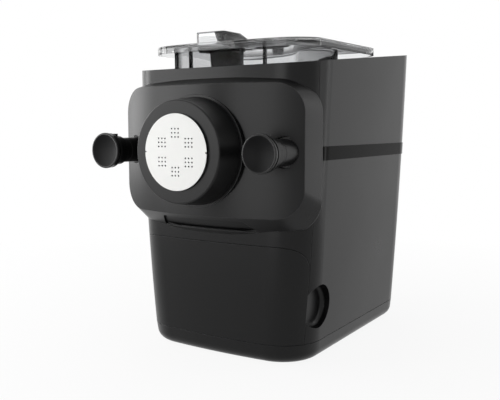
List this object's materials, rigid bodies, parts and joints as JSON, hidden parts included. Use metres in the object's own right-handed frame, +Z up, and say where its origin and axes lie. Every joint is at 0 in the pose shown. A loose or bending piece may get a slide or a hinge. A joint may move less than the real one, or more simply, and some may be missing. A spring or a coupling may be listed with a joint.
{
  "type": "electric pasta maker",
  "caption": "Electric pasta maker that weighs, kneads and extrudes dough through a front die, with a clear lift-off lid, clamp knobs, push buttons and an accessory drawer.",
  "frame": {"origin": "centre of the bounding box on the table under the feet", "axes": "+X to the right seen from the front, +Y to the back, +Z up; the die faces -Y"},
  "size_m": [0.2346, 0.357, 0.3463],
  "materials": {
    "casing": "satin black, fine moulded grain",
    "panel": "satin black, smooth",
    "ring": "satin black",
    "knob": "satin black",
    "knob_cap": "satin black with a polished edge",
    "gloss_black": "high gloss",
    "display": "smoked gloss",
    "deck": "satin black",
    "die_white": "satin white",
    "clear_lid": "clear",
    "smoked": "smoked clear",
    "chamber": "smooth dark grey",
    "tube": "satin black",
    "mixer_plastic": "smooth off-white",
    "tray": "matte dark grey",
    "chassis": "matte black",
    "steel": "turned",
    "bearing_bronze": "sintered",
    "gear_nylon": "natural nylon",
    "gearbox": "die cast",
    "motor_steel": "zinc plated",
    "board": "solder mask",
    "seal": "silicone",
    "foot_rubber": "matte",
    "button": "semi-gloss"
  },
  "bodies": {
    "body": {"front_frame": "casing", "left_side_panel": "casing", "right_side_panel": "casing", "rear_cover": "casing", "power_inlet": "gloss_black", "side_band": "gloss_black", "base_plinth": "casing", "feet": "foot_rubber", "load_cells": "steel", "drawer_runners": "tray", "base_screws": "steel", "chassis": "chassis", "mixing_chamber": "chamber", "top_deck": "deck", "control_fascia": "gloss_black", "display_window": "display", "control_board": "board", "power_board": "board", "shaft_seal": "seal", "shaft_bearing": "bearing_bronze", "rear_bearing": "bearing_bronze", "motor_bearing": "bearing_bronze", "gearbox_housing": "gearbox", "gearbox_cover": "gearbox", "gearbox_screws": "steel", "motor": "motor_steel", "clamp_bushes": "bearing_bronze"},
    "lid": {"lid": "clear_lid", "spray_cup": "smoked"},
    "front_panel": {"front_panel": "panel", "extrusion_tube": "tube", "sealing_plate": "chamber", "front_seal": "seal", "die_disc": "die_white"},
    "locking_ring": {"locking_ring": "ring"},
    "left_knob": {"left_knob_cap": "knob_cap", "left_knob": "knob", "left_clamp_screw": "steel"},
    "right_knob": {"right_knob_cap": "knob_cap", "right_knob": "knob", "right_clamp_screw": "steel"},
    "mixer": {"mixing_paddle": "mixer_plastic", "auger": "mixer_plastic", "drive_shaft": "steel", "drive_gear": "gear_nylon"},
    "rotor": {"motor_pinion": "steel", "cooling_fan": "gear_nylon"},
    "drawer": {"drawer_front": "casing", "drawer_tray": "tray"},
    "power_button": {"power_button": "button"},
    "weigh_button": {"weigh_button": "button"},
    "program_button": {"program_button": "button"},
    "start_button": {"start_button": "button"}
  },
  "joints": [
    {"name": "lid_lift", "type": "slide", "parent": "body", "child": "lid", "axis": [0, 0, 1], "range_m": [0, 0.12]},
    {"name": "panel_slide", "type": "slide", "parent": "body", "child": "front_panel", "axis": [0, -1, 0], "range_m": [0, 0.08]},
    {"name": "ring_turn", "type": "hinge", "parent": "front_panel", "child": "locking_ring", "pos_m": [0, -0.17, 0.22], "axis": [0, -1, 0], "range_deg": [0, 270]},
    {"name": "left_knob_turn", "type": "hinge", "parent": "front_panel", "child": "left_knob", "pos_m": [-0.0936, -0.17, 0.22], "axis": [0, -1, 0], "range_deg": [0, 360]},
    {"name": "right_knob_turn", "type": "hinge", "parent": "front_panel", "child": "right_knob", "pos_m": [0.0936, -0.17, 0.22], "axis": [0, -1, 0], "range_deg": [0, 360]},
    {"name": "mixer_turn", "type": "hinge", "parent": "body", "child": "mixer", "pos_m": [0, 0, 0.22], "axis": [0, 1, 0], "continuous": true},
    {"name": "rotor_turn", "type": "hinge", "parent": "body", "child": "rotor", "pos_m": [0, 0.1, 0.148], "axis": [0, 1, 0], "continuous": true},
    {"name": "drawer_slide", "type": "slide", "parent": "body", "child": "drawer", "axis": [0, -1, 0], "range_m": [0, 0.15]},
    {"name": "power_button_press", "type": "slide", "parent": "body", "child": "power_button", "axis": [0, 0.1063, -0.9943], "range_m": [0, 0.001], "stiffness_N_per_m": 400, "springref_m": -0.001},
    {"name": "weigh_button_press", "type": "slide", "parent": "body", "child": "weigh_button", "axis": [0, 0.1063, -0.9943], "range_m": [0, 0.001], "stiffness_N_per_m": 400, "springref_m": -0.001},
    {"name": "program_button_press", "type": "slide", "parent": "body", "child": "program_button", "axis": [0, 0.1063, -0.9943], "range_m": [0, 0.001], "stiffness_N_per_m": 400, "springref_m": -0.001},
    {"name": "start_button_press", "type": "slide", "parent": "body", "child": "start_button", "axis": [0, 0.1063, -0.9943], "range_m": [0, 0.001], "stiffness_N_per_m": 400, "springref_m": -0.001}
  ],
  "couplings": [
    {"joint": "rotor_turn", "follows": "mixer_turn", "ratio": -3.5}
  ]
}
